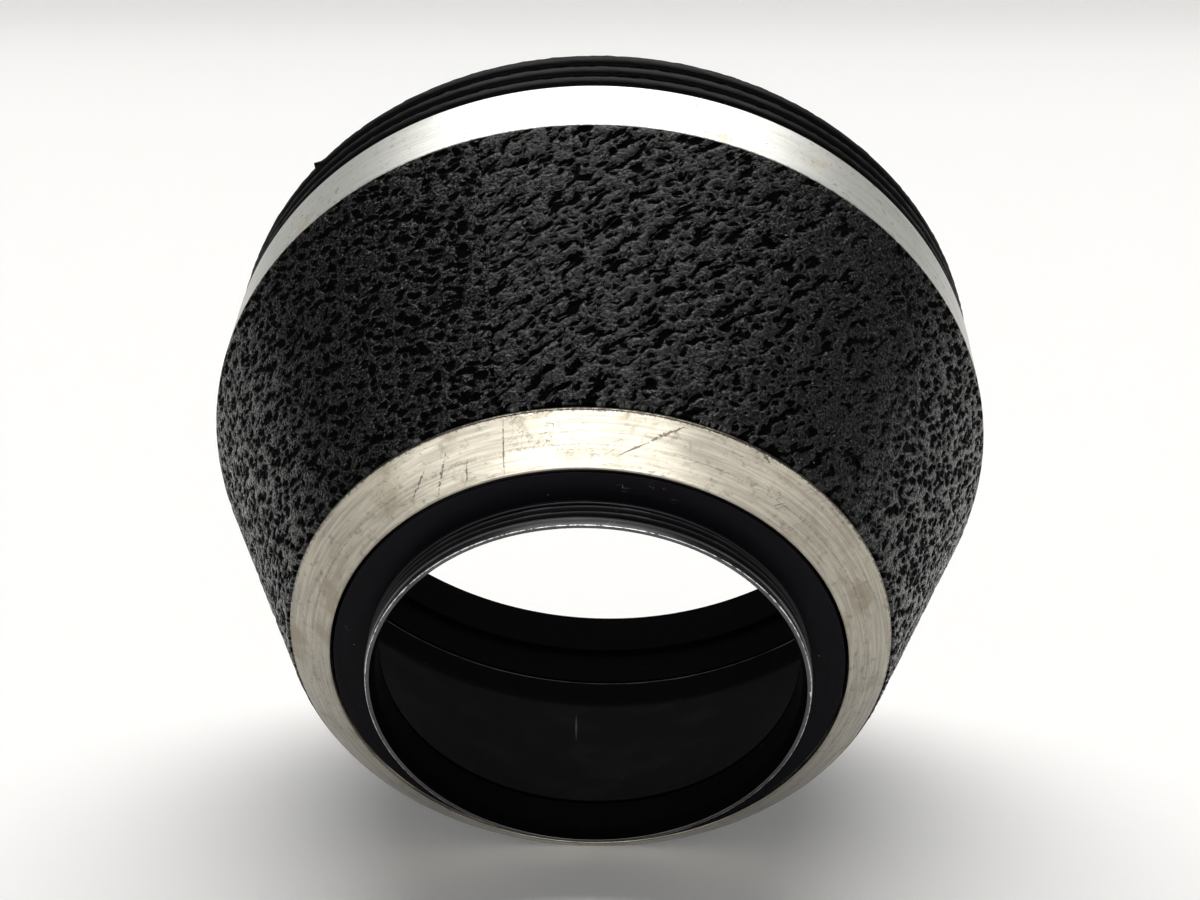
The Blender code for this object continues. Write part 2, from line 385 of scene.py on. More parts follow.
def set_places(piece, places):
    """Move the vertices to these places, in millimetres."""
    piece.data.vertices.foreach_set("co", (places * MM).astype(np.float32).ravel())
    piece.data.update()


def smooth_step(value, low, high):
    """0 below low, 1 above high and smooth between."""
    share = np.clip((value - low) / (high - low), 0, 1)
    return share * share * (3 - 2 * share)


def cut_thread(piece, radius, start, end, pitch=SEAT_THREAD_PITCH, depth=SEAT_THREAD_DEPTH):
    """Cut a right-handed thread into the rows at that radius, towards the axis if depth is positive."""
    places, radii, heights = measured(piece)
    rows = (abs(radii - radius) < 0.02) & (heights > start - 0.001) & (heights < end + 0.001)
    turns = np.arctan2(places[:, 1], places[:, 0]) / (2 * math.pi)
    phase = (heights / pitch - turns) % 1.0
    root = smooth_step(abs(2 * phase - 1), *THREAD_FLANK)
    run_in = smooth_step(heights, start, start + pitch / 2)
    run_out = smooth_step(-heights, -end, pitch / 4 - end)
    cut = np.where(rows, depth * root * np.minimum(run_in, run_out), 0)
    places[:, :2] *= ((radii - cut) / radii)[:, None]
    set_places(piece, places)


def lay_on_axis(piece, turn=0.0):
    """Turn the upright mesh onto the hood's axis and leave the object at the origin."""
    onto_axis = Matrix.Translation(TIP) @ Matrix.Rotation(AXIS_TURN, 4, "X")
    piece.matrix_world = onto_axis @ Matrix.Rotation(turn, 4, "Z")
    bpy.ops.object.select_all(action="DESELECT")
    piece.select_set(True)
    bpy.context.view_layer.objects.active = piece
    bpy.ops.object.transform_apply(location=True, rotation=True, scale=True)


def give_material(piece, material):
    """Make this the piece's one material."""
    piece.data.materials.clear()
    piece.data.materials.append(material)


def paint_inside(piece, radius, paint):
    """Paint the faces within that radius, as the ring's second material."""
    piece.data.materials.append(paint)
    piece.active_material_index = len(piece.data.materials) - 1
    go_to("EDIT")
    select_where(piece, lambda co: math.hypot(co.x, co.y) < radius * MM)
    bpy.ops.object.material_slot_assign()
    go_to("OBJECT")


def finish_ring(piece, body, node, material, inside=None):
    """Finish a ring, lay it on the axis and put it in the frame. inside is None or (radius, paint)."""
    give_material(piece, material)
    if inside:
        paint_inside(piece, *inside)
    lay_on_axis(piece)
    bpy.ops.object.shade_smooth_by_angle(angle=RING_SMOOTH_ANGLE)
    even = piece.modifiers.new("Even", "WEIGHTED_NORMAL")
    even.keep_sharp = True
    bpy.ops.object.modifier_apply(modifier=even.name)
    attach(piece, body)
    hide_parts(node)


# Node helpers

def feed(tree, socket, value):
    """Link a socket to another, or set its value."""
    if isinstance(value, bpy.types.NodeSocket):
        tree.links.new(value, socket)
    else:
        socket.default_value = value


def feed_all(tree, sockets, values):
    """Feed several sockets, by name or number."""
    for name, value in values.items():
        feed(tree, sockets[name], value)


def add(tree, kind, inputs=None, **settings):
    """A new node with its inputs and settings."""
    made = tree.nodes.new(kind)
    for name, value in settings.items():
        setattr(made, name, value)
    feed_all(tree, made.inputs, inputs or {})
    return made


def maths(tree, operation, first, second=0.0, third=0.0):
    return add(tree, "ShaderNodeMath", {0: first, 1: second, 2: third}, operation=operation).outputs[0]


def times(tree, first, second):
    return maths(tree, "MULTIPLY", first, second)


def times_plus(tree, first, second, third):
    return maths(tree, "MULTIPLY_ADD", first, second, third)


def minus(tree, first, second):
    return maths(tree, "SUBTRACT", first, second)


def largest(tree, first, *others):
    for other in others:
        first = maths(tree, "MAXIMUM", first, other)
    return first


def vector_maths(tree, operation, first, second=(0.0, 0.0, 0.0), output="Vector"):
    return add(tree, "ShaderNodeVectorMath", {0: first, 1: second}, operation=operation).outputs[output]


def scaled(tree, vector, factor):
    return add(tree, "ShaderNodeVectorMath", {0: vector, "Scale": factor}, operation="SCALE").outputs[0]


def turned(tree, vector, angle, axis):
    inputs = {"Vector": vector, "Angle": angle}
    return add(tree, "ShaderNodeVectorRotate", inputs, rotation_type=axis).outputs[0]


def separate(tree, vector):
    return add(tree, "ShaderNodeSeparateXYZ", {0: vector}).outputs


def combine(tree, x, y, z=0.0):
    return add(tree, "ShaderNodeCombineXYZ", {0: x, 1: y, 2: z}).outputs[0]


def step(tree, value, low, high, to_low=0.0, to_high=1.0):
    """A smooth step of the value from low to high."""
    inputs = {0: value, 1: low, 2: high, 3: to_low, 4: to_high}
    return add(tree, "ShaderNodeMapRange", inputs, interpolation_type="SMOOTHSTEP").outputs[0]


def noise(tree, vector, scale=1.0, detail=3.0, rough=0.5, dimensions="3D", output="Fac"):
    """Noise at a place, as a number or as a colour."""
    inputs = {"Vector": vector, "Scale": scale, "Detail": detail, "Roughness": rough}
    return add(tree, "ShaderNodeTexNoise", inputs, noise_dimensions=dimensions).outputs[output]


def nearest_point(tree, vector, scale, dimensions="3D"):
    """The nearest of points scattered at random: its distance and a colour of its own."""
    inputs = {"Vector": vector, "Scale": scale}
    return add(tree, "ShaderNodeTexVoronoi", inputs, feature="F1", voronoi_dimensions=dimensions).outputs


def mix(tree, share, first, second, blend="MIX"):
    """Mix two colours by a share of the second."""
    inputs = {0: share, 6: first, 7: second}
    return add(tree, "ShaderNodeMix", inputs, data_type="RGBA", blend_type=blend).outputs[2]


def toned(tree, colour, tone):
    """A colour made darker or lighter by a number."""
    grey = add(tree, "ShaderNodeCombineColor", {0: tone, 1: tone, 2: tone}).outputs[0]
    return mix(tree, 1.0, colour, grey, "MULTIPLY")


def over(tree, shade, mask, strength, colour):
    """Lay a colour over the shade where the mask is, at that strength."""
    return mix(tree, times(tree, mask, strength), shade, colour)


def new_group(name, inputs, build):
    """A shader node group. build makes its nodes from its inputs and returns its outputs by name."""
    tree = bpy.data.node_groups.new(name, "ShaderNodeTree")

    def add_sockets(names, direction):
        for socket in names:
            kind = "NodeSocketVector" if socket in ("Position", "Local", "Round") else "NodeSocketFloat"
            tree.interface.new_socket(socket, in_out=direction, socket_type=kind)

    add_sockets(inputs, "INPUT")
    outputs = build(tree, add(tree, "NodeGroupInput").outputs)
    add_sockets(outputs, "OUTPUT")
    add(tree, "NodeGroupOutput", outputs)
    return tree


def effect(tree, group, place, values):
    """Put a shared effect in a material. Inputs without a value come from the place on the hood."""
    made = add(tree, "ShaderNodeGroup", node_tree=group)
    for socket in made.inputs:
        feed(tree, socket, values[socket.name] if socket.name in values else place[socket.name])
    return made.outputs


# Effects that several finishes share

def hood_place_nodes(tree, given):
    """Where a point lies on the hood: millimetres along the axis, radius from it, and its place round it."""
    local = add(
        tree, "ShaderNodeMapping",
        {"Vector": given["Position"], "Location": TIP, "Rotation": (AXIS_TURN, 0, 0), "Scale": (MM, MM, MM)},
        vector_type="TEXTURE",
    ).outputs["Vector"]
    parts = separate(tree, local)
    flat = vector_maths(tree, "MULTIPLY", local, (1.0, 1.0, 0.0))
    angle = maths(tree, "ARCTAN2", parts["X"], times(tree, parts["Y"], -1.0))
    return {
        "Local": local,
        "Radius": vector_maths(tree, "LENGTH", flat, output="Value"),
        "Height": parts["Z"],
        "Round": vector_maths(tree, "NORMALIZE", flat),
        "Angle": maths(tree, "DEGREES", angle),
    }


def turning_marks_nodes(tree, given):
    """Fine rings left by the lathe: uneven lines that run round the axis and fade in and out."""
    parts = separate(tree, scaled(tree, given["Round"], given["Length"]))
    lines = times(tree, given["Across"], given["Lines per mm"])
    fine = combine(tree, parts["X"], parts["Y"], lines)
    broad = combine(tree, parts["X"], parts["Y"], times(tree, lines, 0.22))
    return {
        "Marks": noise(tree, fine, rough=0.65),
        "Streaks": noise(tree, broad, scale=1.6, detail=4.0, rough=0.6),
    }


def edge_marks_and_highlight_nodes(tree, given):
    """A band round one turned edge's circle, broken up by noise: for wear and dirt along edges, and for a
    painted highlight along the funnel's neck.
    """
    across = minus(tree, given["Radius"], given["Edge Radius"])
    along = minus(tree, given["Height"], given["Edge Height"])
    square = times_plus(tree, across, across, times(tree, along, along))
    distance = maths(tree, "DIVIDE", maths(tree, "SQRT", square), given["Width"])
    patches = scaled(tree, given["Local"], maths(tree, "DIVIDE", 1.0, given["Patch Size"]))
    patchy = minus(tree, noise(tree, patches, detail=4.0, rough=0.7), 0.5)
    ragged = times_plus(tree, patchy, times(tree, given["Broken"], 4.0), distance)
    return {"Mask": step(tree, ragged, 1.15, 0.75)}


def stains_nodes(tree, given):
    """Blotches of an old bare metal surface, large soft ones and small spots."""
    patches = scaled(tree, given["Local"], maths(tree, "DIVIDE", 1.0, given["Size"]))
    low = minus(tree, 0.72, times(tree, given["Amount"], 0.4))
    soft = noise(tree, patches, detail=5.0, rough=0.6)
    spots = noise(tree, patches, scale=7.0, detail=2.0)
    return {
        "Blotches": step(tree, soft, low, maths(tree, "ADD", low, 0.16)),
        "Spots": step(tree, spots, 0.65, 0.71),
    }


def scratches_nodes(tree, given):
    """Hairline scratches in many directions: lines where stretched noise crosses its middle value."""
    limit = minus(tree, 0.78, times(tree, given["Amount"], 0.4))
    masks = []
    for turn, stretch in ((0.5, (0.09, 2.1, 1.0)), (1.9, (1.9, 0.07, 1.2)), (-0.7, (1.3, 1.6, 0.06))):
        long = vector_maths(tree, "MULTIPLY", turned(tree, given["Local"], turn, "Y_AXIS"), stretch)
        wave = minus(tree, noise(tree, long, detail=1.0, rough=0.4), 0.5)
        line = step(tree, maths(tree, "ABSOLUTE", wave), 0.006, 0.0015)
        patches = noise(tree, given["Local"], scale=0.23 + 0.05 * turn, detail=2.0)
        where = step(tree, patches, limit, maths(tree, "ADD", limit, 0.05))
        masks.append(times(tree, line, where))
    return {"Mask": largest(tree, *masks)}


def placed_scratch_nodes(tree, given):
    """One scratch between two places, each given as degrees round the hood and a radius."""
    mean_radius = times(tree, maths(tree, "ADD", given["Start Radius"], given["End Radius"]), 0.5)
    per_degree = maths(tree, "RADIANS", mean_radius)

    def spread(angle, radius):
        return combine(tree, times(tree, given[angle], per_degree), given[radius])

    start = spread("Start Angle", "Start Radius")
    line = vector_maths(tree, "SUBTRACT", spread("End Angle", "End Radius"), start)
    reach = vector_maths(tree, "SUBTRACT", spread("Angle", "Radius"), start)
    along = vector_maths(tree, "DOT_PRODUCT", reach, line, "Value")
    whole = vector_maths(tree, "DOT_PRODUCT", line, line, "Value")
    share = add(tree, "ShaderNodeClamp", {0: maths(tree, "DIVIDE", along, whole)}).outputs[0]
    away = vector_maths(tree, "DISTANCE", reach, scaled(tree, line, share), "Value")
    from_middle = maths(tree, "ABSOLUTE", times_plus(tree, share, 2.0, -1.0))
    width = times(tree, given["Width"], minus(tree, 1.15, from_middle))
    patchy = minus(tree, noise(tree, given["Local"], scale=3.6, rough=0.65), 0.5)
    distance = maths(tree, "DIVIDE", away, width)
    ragged = times_plus(tree, patchy, times(tree, given["Broken"], 4.0), distance)
    return {"Mask": step(tree, ragged, 1.1, 0.6)}


def dust_nodes(tree, given):
    """Tiny pale specks scattered over a dark surface."""
    near = nearest_point(tree, given["Local"], maths(tree, "DIVIDE", 1.0, given["Spacing"]))
    away = times(tree, near["Distance"], given["Spacing"])
    chance = separate(tree, near["Color"])["X"]
    speck = maths(tree, "LESS_THAN", away, times(tree, given["Size"], chance))
    return {"Mask": times(tree, speck, maths(tree, "GREATER_THAN", chance, 0.6))}


MARK_SOCKETS = ("Across", "Lines per mm", "Length")
HOOD_PLACE = new_group("hood_place", ["Position"], hood_place_nodes)
TURNING_MARKS = new_group("turning_marks", ["Round", *MARK_SOCKETS], turning_marks_nodes)
EDGE_MARKS_AND_HIGHLIGHT = new_group("edge_marks_and_highlight", ["Local", "Radius", "Height", *EDGE_SOCKETS], edge_marks_and_highlight_nodes)
STAINS = new_group("stains", ["Local", "Size", "Amount"], stains_nodes)
SCRATCHES = new_group("scratches", ["Local", "Amount"], scratches_nodes)
PLACED_SCRATCH = new_group(
    "placed_scratch", ["Local", "Angle", "Radius", *SCRATCH_SOCKETS], placed_scratch_nodes
)
DUST = new_group("dust", ["Local", "Spacing", "Size"], dust_nodes)


# Finishes

def new_finish(name):
    """A material with its nodes, its shader's inputs and its place on the hood."""
    material = bpy.data.materials.new(name)
    material.use_nodes = True
    tree = material.node_tree
    position = add(tree, "ShaderNodeTexCoord").outputs["Object"]
    place = effect(tree, HOOD_PLACE, {}, {"Position": position})
    return material, tree, tree.nodes["Principled BSDF"].inputs, place


def bump(tree, height):
    """The normal of a relief whose height is in millimetres."""
    return add(tree, "ShaderNodeBump", {"Height": height, "Strength": 1.0, "Distance": MM}).outputs[0]


def turning_marks(tree, place, lines_per_mm, length):
    """The lathe's marks, counted across a face whichever way it slopes."""
    across = maths(tree, "ADD", place["Radius"], place["Height"])
    return effect(tree, TURNING_MARKS, place, dict(zip(MARK_SOCKETS, (across, lines_per_mm, length))))


def edge_wear_dirt_and_highlight(tree, place, edges):
    """The largest of the bands along several edges (wear, dirt and a painted highlight), each with the
    numbers of EDGE_SOCKETS and a strength.
    """
    mask = 0.0
    for *values, strength in edges:
        one = effect(tree, EDGE_MARKS_AND_HIGHLIGHT, place, dict(zip(EDGE_SOCKETS, values)))["Mask"]
        mask = largest(tree, mask, times(tree, one, strength))
    return mask


def placed_scratches(tree, place, scratches):
    """The largest of several scratches, each with the numbers of SCRATCH_SOCKETS."""
    mask = 0.0
    for values in scratches:
        one = effect(tree, PLACED_SCRATCH, place, dict(zip(SCRATCH_SOCKETS, values)))["Mask"]
        mask = largest(tree, mask, one)
    return mask


def bare_metal(name, colour, stain_colour, stain_amount, marks_per_mm, roughness, uneven, edges, scratches):
    """Old bare aluminium: lathe marks, streaks, blotches, spots, dirt along its edges and scratches."""
    material, tree, shader, place = new_finish(name)
    marks = turning_marks(tree, place, marks_per_mm, length=3.0)
    stains = effect(tree, STAINS, place, {"Size": 5.0, "Amount": stain_amount})
    pitting = effect(tree, STAINS, place, {"Size": 0.9, "Amount": 0.4})["Blotches"]
    lines = effect(tree, SCRATCHES, place, {"Amount": 0.5})["Mask"]
    streak = step(tree, marks["Streaks"], 0.3, 0.7, 0.97 - 0.1 * uneven, 0.97 + 0.1 * uneven)
    streak = times_plus(tree, pitting, -0.16 * uneven, streak)
    shade = toned(tree, colour, streak)
    shade = over(tree, shade, stains["Blotches"], 0.75, stain_colour)
    shade = over(tree, shade, stains["Spots"], 0.55, SPOT_COLOUR)
    shade = over(tree, shade, lines, 0.5, HAIRLINE_COLOUR)
    shade = over(tree, shade, edge_wear_dirt_and_highlight(tree, place, edges), 1.0, DIRT_COLOUR)
    cuts = placed_scratches(tree, place, scratches)
    shade = over(tree, shade, cuts, 0.75, SCRATCH_COLOUR)
    lines = largest(tree, lines, cuts)
    rough = times_plus(tree, marks["Marks"], 0.22, roughness - 0.11)
    rough = times_plus(tree, stains["Blotches"], 0.12, rough)
    raised = times(tree, marks["Marks"], METAL_MARK_HEIGHT)
    relief = minus(tree, raised, times(tree, lines, METAL_SCRATCH_DEPTH))
    feed_all(tree, shader, {
        "Base Color": shade,
        "Metallic": 1.0,
        "Roughness": rough,
        "Normal": bump(tree, relief),
    })
    return material


def black_finish(name, colour, worn_colour, roughness, shine, marks_per_mm, edges, nicks, polished):
    """Black turned aluminium, bare at edges and nicks, with faint lathe marks and polished places."""
    material, tree, shader, place = new_finish(name)
    marks = turning_marks(tree, place, marks_per_mm, length=2.0)
    specks = effect(tree, DUST, place, {"Spacing": 1.4, "Size": 0.05})["Mask"]
    lines = effect(tree, SCRATCHES, place, {"Amount": 0.25})["Mask"]
    at_rear = step(tree, place["Height"], 0.4, 0.25)
    nicked = times(tree, placed_scratches(tree, place, nicks), at_rear)
    bare = largest(tree, edge_wear_dirt_and_highlight(tree, place, edges), times(tree, lines, 0.25), nicked)
    streak = step(tree, marks["Streaks"], 0.25, 0.75, 0.7, 1.35)
    shade = mix(tree, bare, toned(tree, colour, streak), worn_colour)
    rough = times_plus(tree, marks["Marks"], 0.2, roughness - 0.1)
    feed_all(tree, shader, {
        "Base Color": over(tree, shade, specks, 0.8, DUST_COLOUR),
        "Metallic": bare,
        "Roughness": times_plus(tree, bare, -0.12, rough),
        "Specular IOR Level": shine,
        "Coat Weight": times(tree, polished(tree, place), streak),
        "Coat Roughness": 0.32,
        "Coat IOR": 1.8,
        "Normal": bump(tree, times(tree, marks["Marks"], BLACK_MARK_HEIGHT)),
    })
    return material


def lens_thread_polish(tree, place):
    """Where a lens has polished the collar: the lead, and less so the crests of the thread."""
    lead = step(tree, place["Height"], LEAD_LENGTH, LEAD_LENGTH - 0.15)
    top = LENS_THREAD_RADIUS - 0.02
    crest = step(tree, place["Radius"], top - 0.1, top, 0.0, 0.18)
    behind = step(tree, place["Height"], SHOULDER - 0.1, SHOULDER - 0.2)
    return largest(tree, lead, times(tree, crest, behind))


def rib_polish(tree, place):
    """Where hands have polished the rim: the tops of its ribs, and more so its front face."""
    ribs = step(tree, place["Radius"], FRONT_RADIUS - 0.2, FRONT_RADIUS - 0.05, 0.0, 0.04)
    face = step(tree, place["Height"], FRONT - 0.2, FRONT - 0.1, 0.0, 0.2)
    return largest(tree, ribs, face)


def funnel_paint():
    """Matt black paint with a fine grain, greyer in the funnel and where rubbed, pale at its scratches and
    with a painted highlight along the neck's inner edge.
    """
    material, tree, shader, place = new_finish("matt_black_paint")
    grain = noise(tree, place["Local"], scale=6.0, rough=0.6)
    patches = noise(tree, place["Local"], scale=0.18)
    lines = effect(tree, SCRATCHES, place, {"Amount": 0.25})["Mask"]
    cuts = placed_scratches(tree, place, FUNNEL_SCRATCHES)
    # Painted highlight: a pale band along the neck's inner edge
    corner = edge_wear_dirt_and_highlight(tree, place, FUNNEL_HIGHLIGHT_EDGES)
    rubbed = step(tree, patches, 0.45, 0.75)
    past_nose = step(tree, place["Height"], NOSE_END, NOSE_END + 0.2)
    before_neck = step(tree, place["Height"], BAND_START, BAND_START - 0.2)
    shade = mix(tree, rubbed, (0.0018, 0.0022, 0.002, 1), (0.0036, 0.0042, 0.0039, 1))
    shade = mix(tree, times(tree, past_nose, before_neck), (0.0006, 0.0006, 0.0006, 1), shade)
    # Pale where the paint is scratched, and along the neck's edge as a painted highlight
    pale = largest(tree, corner, times(tree, lines, 0.2), times(tree, cuts, 0.35))
    feed_all(tree, shader, {
        "Base Color": mix(tree, pale, shade, PAINT_SCRATCH_AND_HIGHLIGHT_COLOUR),
        "Roughness": times_plus(tree, grain, 0.2, 0.75),
        "Specular IOR Level": 0.02,
        "Normal": bump(tree, times(tree, grain, PAINT_GRAIN_HEIGHT)),
    })
    return material


# The leather's grain, the same in its mesh and in its finish

def pit_nodes(tree, place, stretch, scale, smallest):
    """Oval pits scattered over the hide, each of its own size: 0 in a pit and 1 between them."""
    near = nearest_point(tree, vector_maths(tree, "MULTIPLY", place, stretch), scale, "2D")
    hole = times_plus(tree, separate(tree, near["Color"])["X"], 0.3, smallest)
    return step(tree, minus(tree, near["Distance"], hole), -0.1, 0.14)


def grain_nodes(tree, flat):
    """Grain at a place on the flat cut: its height, its tops as 1 and creases as 0, and where it is netted.

    Small pits and long slits follow the hide in the middle, and larger pits make a net away from it.
    """
    away = vector_maths(tree, "DISTANCE", flat, SLIT_MIDDLE, "Value")
    netted = step(tree, away, *SLIT_REACH)
    place = turned(tree, flat, -GRAIN_ANGLE, "Z_AXIS")
    for scale, reach in ((0.4, (2.0, 1.3, 0.0)), (2.2, (0.4, 0.3, 0.0))):
        drift = noise(tree, place, scale, detail=2.0, dimensions="2D", output="Color")
        drift = vector_maths(tree, "SUBTRACT", drift, (0.5, 0.5, 0.5))
        place = vector_maths(tree, "ADD", place, vector_maths(tree, "MULTIPLY", drift, reach))
    small = pit_nodes(tree, place, (0.5, 1.0, 0.0), 1.5, 0.06)
    large = pit_nodes(tree, place, (0.6, 1.0, 0.0), 1.15, 0.2)
    pit = times_plus(tree, netted, minus(tree, large, small), small)
    long = vector_maths(tree, "MULTIPLY", place, (0.34, 1.3, 0.0))
    slit = noise(tree, long, detail=2.0, dimensions="2D")
    slit = largest(tree, step(tree, slit, 0.35, 0.44), times(tree, netted, 0.4))
    fine = noise(tree, place, scale=2.0, rough=0.6, dimensions="2D")
    height = times_plus(tree, pit, 0.5, times(tree, slit, 0.6))
    return times_plus(tree, fine, 0.55, height), times(tree, slit, pit), netted


def leather_finish():
    """Black leather: the grain of its mesh drawn finer, painted shade in its creases and pits, rubbed tops
    and dust.
    """
    material, tree, shader, place = new_finish("black_leather")
    flat = add(tree, "ShaderNodeAttribute", attribute_name="flat_cut").outputs["Vector"]
    height, tops, netted = grain_nodes(tree, flat)
    fine = noise(tree, flat, scale=3.4, rough=0.65)
    specks = effect(tree, DUST, place, {"Spacing": 2.2, "Size": 0.09})["Mask"]
    mottle = step(tree, fine, 0.35, 0.65)
    skin = mix(tree, mottle, (0.0014, 0.0014, 0.0014, 1), (0.0056, 0.0056, 0.0055, 1))
    # Painted shade: the creases and pits are coloured near black, for the shade that falls in them
    shade = mix(tree, step(tree, tops, 0.1, 0.6), (0.0002, 0.0002, 0.0002, 1), skin)
    duller = times(tree, netted, times_plus(tree, mottle, -0.3, 0.3))
    gloss = minus(tree, times_plus(tree, mottle, 0.75, 0.25), duller)
    from_top = maths(tree, "ABSOLUTE", place["Angle"])
    less_handled = step(tree, from_top, 20.0, 50.0, 1.0, 0.6)
    more_handled = step(tree, from_top, 50.0, 77.0, 0.0, 1.5)
    handled = maths(tree, "ADD", less_handled, more_handled)
    gloss = maths(tree, "MINIMUM", times(tree, largest(tree, gloss, 0.0), handled), 1.0)
    relief = times_plus(tree, fine, LEATHER_FINE_HEIGHT, times(tree, height, LEATHER_RELIEF_HEIGHT))
    normal = bump(tree, relief)
    feed_all(tree, shader, {
        "Base Color": over(tree, shade, specks, 0.5, LEATHER_DUST_COLOUR),
        "Roughness": 0.7,
        "Specular IOR Level": 0.02,
        "Coat Weight": times(tree, step(tree, tops, 0.08, 0.45), gloss),
        "Coat Roughness": 0.21,
        "Coat IOR": 1.5,
        "Normal": normal,
        "Coat Normal": normal,
    })
    return material


# Pieces

def build_collar(material, paint):
    """The mount collar: lens thread with its lead, shoulder, tapered bore and the flange's fine thread."""
    bore_edge = LEAD_RADIUS - REAR_EDGE
    corners = [(FLANGE_RADIUS, COLLAR_END, BROKEN)]
    corners += thread_rows(FLANGE_RADIUS, *reversed(FLANGE_THREAD))
    corners += [(FLANGE_RADIUS, SHOULDER, KEEN), (LENS_THREAD_RADIUS, SHOULDER, FOOT)]
    corners += thread_rows(LENS_THREAD_RADIUS, *reversed(LENS_THREAD))
    corners += [
        (LEAD_RADIUS, LEAD_LENGTH - LEAD_DEPTH, FINE),
        (LEAD_RADIUS, 0.0, CRISP),
        (bore_edge, 0.0, FINE),
        (BORE_RADIUS, BORE_TAPER, TAPER_ROUNDING),
        (BORE_RADIUS, COLLAR_END, BROKEN),
    ]
    piece = turned_ring("threaded_collar", corners)
    cut_thread(piece, LENS_THREAD_RADIUS, *LENS_THREAD, LENS_THREAD_PITCH, LENS_THREAD_DEPTH)
    cut_thread(piece, FLANGE_RADIUS, *FLANGE_THREAD)
    finish_ring(piece, "collar", "mount_collar", material, (bore_edge + 0.02, paint))


def build_bevel(material):
    """The bevel ring: threaded counterbore, two bare facets, lip for the leather and skirt on the nose."""
    skirt = cone_radius(LIP_END)
    nose_bore = NOSE_RADIUS + FIT_GAP
    corners = [
        (skirt, SKIRT_END, SOFT),
        (skirt, LIP_END, SOFT),
        (BEVEL_OUTER_RADIUS, LIP_END, SOFT),
        (BEVEL_OUTER_RADIUS, BEVEL_END, SOFT),
        (BEVEL_INNER_RADIUS + RIDGE_WIDTH, SHOULDER + RIDGE_LENGTH, ROUND),
        (BEVEL_INNER_RADIUS, SHOULDER, KEEN),
        (COUNTERBORE_RADIUS, SHOULDER, KEEN),
    ]
    corners += thread_rows(COUNTERBORE_RADIUS, *COUNTERBORE_THREAD)
    corners += [
        (COUNTERBORE_RADIUS, COLLAR_END, SHARP),
        (nose_bore, COLLAR_END, SHARP),
        (nose_bore, SKIRT_END, SOFT),
    ]
    piece = turned_ring("bevel_ring_turned", corners)
    cut_thread(piece, COUNTERBORE_RADIUS, *COUNTERBORE_THREAD, depth=-SEAT_THREAD_DEPTH)
    finish_ring(piece, "hood", "bevel_ring", material)


def build_cone(material):
    """The cone: nose, tapered wall, neck and the painted funnel inside."""
    nose_start = SKIRT_END + FIT_GAP
    corners = [
        (NECK_RADIUS, NECK_END, BLUNT),
        (NECK_RADIUS, CONE_END, SHARP),
        (cone_radius(CONE_END), CONE_END, SHARP),
        (cone_radius(nose_start), nose_start, SOFT),
        (NOSE_RADIUS, nose_start, SOFT),
        (NOSE_RADIUS, NOSE_END, BLUNT),
        (BORE_RADIUS, NOSE_END, CRISP),
        (NECK_BORE_RADIUS, BAND_START, FUNNEL_ROUNDING),
        (NECK_BORE_RADIUS, NECK_END, BROKEN),
    ]
    piece = turned_ring("painted_cone", corners)
    finish_ring(piece, "hood", "cone_body", material)


def build_band(material):
    """The bare band with its broken corners and the thread in its bore for the rim."""
    corners = [
        (FRONT_RADIUS, BAND_END, BROKEN),
        (FRONT_RADIUS, BAND_START, KEEN),
        (BAND_BORE_RADIUS, BAND_START, BLUNT),
    ]
    corners += thread_rows(BAND_BORE_RADIUS, *BAND_THREAD)
    corners += [(BAND_BORE_RADIUS, BAND_END, BLUNT)]
    piece = turned_ring("bare_band_turned", corners)
    cut_thread(piece, BAND_BORE_RADIUS, *BAND_THREAD, depth=-SEAT_THREAD_DEPTH)
    finish_ring(piece, "hood", "front_band", material)


def wear_ribs(piece):
    """Leave the ribs' crests slightly uneven, with one burr on the front rib."""
    places, radii, heights = measured(piece)
    around = np.arctan2(places[:, 0], -places[:, 1])
    crest = smooth_step(radii, FRONT_RADIUS - 0.35, FRONT_RADIUS - 0.05) * (heights > RIM_START)
    uneven = np.zeros(len(places))
    for waves, shift, share in RIB_WAVES:
        uneven += share * np.sin(waves * around + shift + heights * waves * 0.05)
    burr = np.clip(1 - abs(around - BURR_ANGLE) * FRONT_RADIUS / BURR_HALF_WIDTH, 0, 1)
    burr *= np.clip(1 - abs(heights - BURR_HEIGHT) / BURR_HALF_WIDTH, 0, 1)
    moved = radii + crest * (RIB_RAGGED * (uneven - uneven.max()) + BURR_REACH * burr)
    places[:, :2] *= (moved / radii)[:, None]
    set_places(piece, places)


